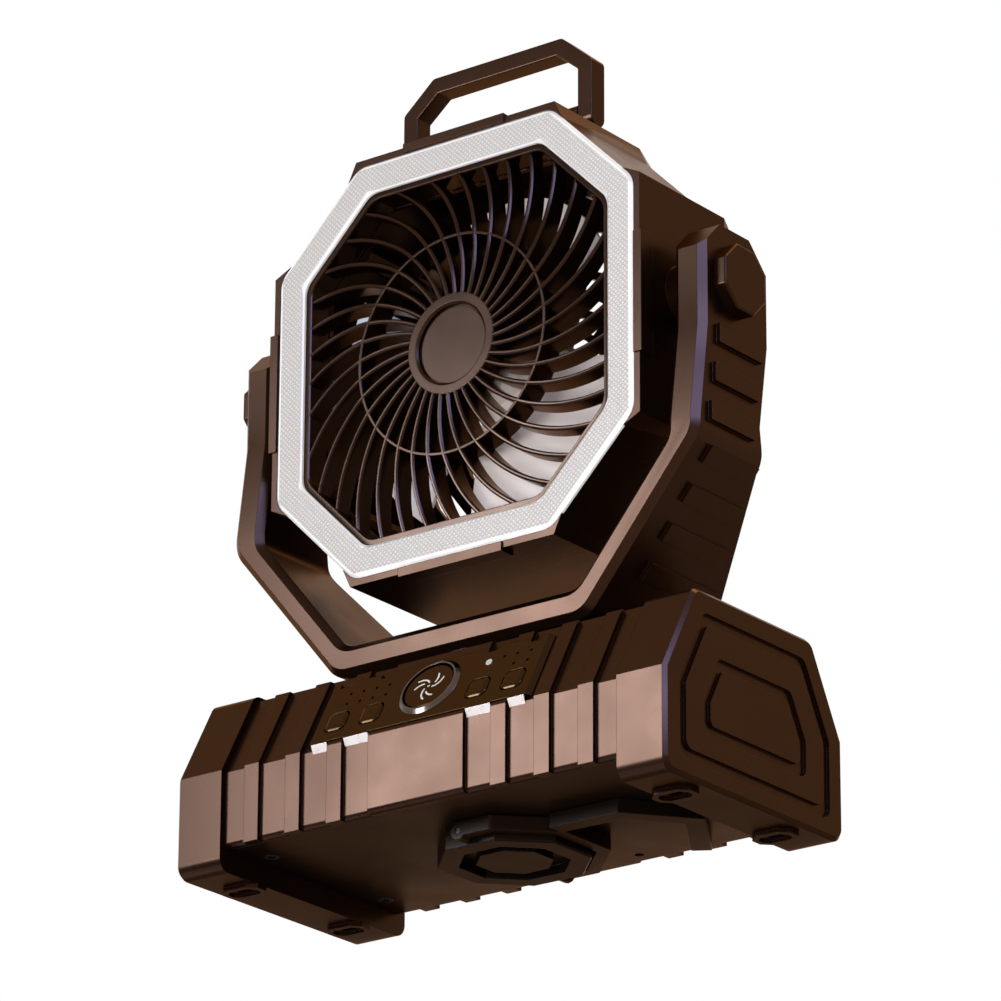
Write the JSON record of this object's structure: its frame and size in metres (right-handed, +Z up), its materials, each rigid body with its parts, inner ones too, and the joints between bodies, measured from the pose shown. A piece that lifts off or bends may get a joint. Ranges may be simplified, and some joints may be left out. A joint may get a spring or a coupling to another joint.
{
  "type": "portable camping fan",
  "caption": "Rechargeable camping fan: tilting octagonal head with light ring and spiral grille, swinging U-shaped yoke, carrying handle, control base and fold-away hanging hook.",
  "frame": {"origin": "centre of the base's footprint, on the surface the feet stand on", "axes": "+Z up; -Y is the front, where the grille and the control panel face; X along the base, +X at the right-hand side seen from the back"},
  "size_m": [0.2148, 0.1034, 0.3025],
  "materials": {
    "shell_plastic": "satin, dark bronze-brown",
    "gloss_panel": "glossy, dark brown",
    "steel": "zinc-plated",
    "plated_ring": "bright plated",
    "clear_lens": "clear",
    "light_diffuser": "milky translucent",
    "circuit_board": "solder mask",
    "led_chip": "phosphor",
    "cell_sleeve": "shrink sleeve",
    "inner_plastic": "moulded",
    "nickel": "nickel-plated",
    "pale_plastic": "moulded, off-white",
    "motor_can": "zinc-plated",
    "washer_rubber": "friction rubber"
  },
  "bodies": {
    "base": {"base_body": "shell_plastic", "base_bottom": "shell_plastic", "right_end_cap": "shell_plastic", "left_end_cap": "shell_plastic", "foot_screws": "steel", "bottom_screws": "steel", "control_panel": "gloss_panel", "power_button_ring": "plated_ring", "indicator_lamp": "clear_lens", "control_board": "circuit_board", "swing_motor": "motor_can", "battery_tray": "inner_plastic", "battery_cells": "cell_sleeve", "port_plate": "inner_plastic", "charging_inlet": "nickel", "usb_output": "nickel", "charging_board": "circuit_board", "turntable_bearing": "inner_plastic"},
    "hook_hub": {"hook_hub": "shell_plastic", "hub_retainer": "steel", "hub_screw": "steel", "hook_pins": "steel"},
    "hook": {"hanging_hook": "shell_plastic"},
    "yoke": {"yoke": "shell_plastic", "turntable": "inner_plastic", "turntable_retainer": "inner_plastic", "turntable_screws": "steel", "swing_shaft": "steel", "left_pivot_cap": "shell_plastic", "right_pivot_cap": "shell_plastic", "pivot_washers": "washer_rubber"},
    "head": {"head_housing": "shell_plastic", "light_ring": "light_diffuser", "light_board": "circuit_board", "leds": "led_chip", "front_grille": "shell_plastic", "grille_hub_cap": "shell_plastic", "rear_cover": "shell_plastic", "cover_screws": "steel", "fan_motor": "motor_can", "left_pivot_pin": "steel", "right_pivot_pin": "steel", "handle_pins": "steel"},
    "fan": {"fan_wheel": "pale_plastic", "motor_shaft": "steel"},
    "handle": {"handle": "shell_plastic"},
    "power": {"power_button": "gloss_panel"},
    "light": {"light_button": "gloss_panel"},
    "brightness": {"brightness_button": "gloss_panel"},
    "timer": {"timer_button": "gloss_panel"},
    "swing": {"swing_button": "gloss_panel"}
  },
  "joints": [
    {"name": "yoke_swing", "type": "hinge", "parent": "base", "child": "yoke", "pos_m": [0, 0, 0.0688], "axis": [0, 0, 1], "range_deg": [-60, 60]},
    {"name": "head_tilt", "type": "hinge", "parent": "yoke", "child": "head", "pos_m": [0, -0.006, 0.1895], "axis": [1, 0, 0], "range_deg": [-90, 90]},
    {"name": "fan_spin", "type": "hinge", "parent": "head", "child": "fan", "pos_m": [0, 0, 0.1833], "axis": [0, 1, 0], "continuous": true},
    {"name": "handle_fold", "type": "hinge", "parent": "head", "child": "handle", "pos_m": [0, -0.0036, 0.2694], "axis": [-1, 0, 0], "range_deg": [0, 90]},
    {"name": "power_press", "type": "slide", "parent": "base", "child": "power", "axis": [0, 0.8791, -0.4765], "range_m": [0, 0.001], "stiffness_N_per_m": 500, "springref_m": -0.0006},
    {"name": "light_press", "type": "slide", "parent": "base", "child": "light", "axis": [0, 0.8791, -0.4765], "range_m": [0, 0.001], "stiffness_N_per_m": 500, "springref_m": -0.0006},
    {"name": "brightness_press", "type": "slide", "parent": "base", "child": "brightness", "axis": [0, 0.8791, -0.4765], "range_m": [0, 0.001], "stiffness_N_per_m": 500, "springref_m": -0.0006},
    {"name": "timer_press", "type": "slide", "parent": "base", "child": "timer", "axis": [0, 0.8791, -0.4765], "range_m": [0, 0.001], "stiffness_N_per_m": 500, "springref_m": -0.0006},
    {"name": "swing_press", "type": "slide", "parent": "base", "child": "swing", "axis": [0, 0.8791, -0.4765], "range_m": [0, 0.001], "stiffness_N_per_m": 500, "springref_m": -0.0006},
    {"name": "hook_swivel", "type": "hinge", "parent": "base", "child": "hook_hub", "pos_m": [0, 0.005, 0.006], "axis": [0, 0, 1], "range_deg": [-180, 180]},
    {"name": "hook_fold", "type": "hinge", "parent": "hook_hub", "child": "hook", "pos_m": [-0.0005, 0.005, 0.0062], "axis": [0, 1, 0], "range_deg": [0, 90]}
  ]
}
